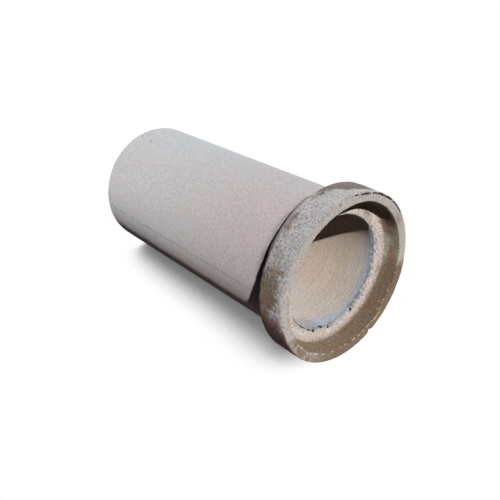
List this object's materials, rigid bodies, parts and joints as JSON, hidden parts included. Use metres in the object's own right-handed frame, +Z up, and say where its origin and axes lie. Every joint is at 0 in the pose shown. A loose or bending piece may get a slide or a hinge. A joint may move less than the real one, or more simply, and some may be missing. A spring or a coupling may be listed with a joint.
{
  "type": "concrete sewer pipe",
  "caption": "Unreinforced cast concrete drain pipe lying on its side: plain cylindrical barrel with a short thick collar round a shallow tapered socket recess, open through bore",
  "frame": {"origin": "middle of the pipe's box in plan, at the level floor that it lies on", "axes": "+X runs along the pipe to the socket mouth, +Z is up; lying on the collar and the spigot end, the axis rises 2.5 degrees towards the socket"},
  "size_m": [1.1202, 0.5836, 0.5869],
  "materials": {
    "concrete": "dry cast grey concrete with a pinkish cast, smooth barrel, rough pitted collar, soiled socket recess"
  },
  "bodies": {
    "root": {"pipe": "concrete"}
  },
  "joints": []
}
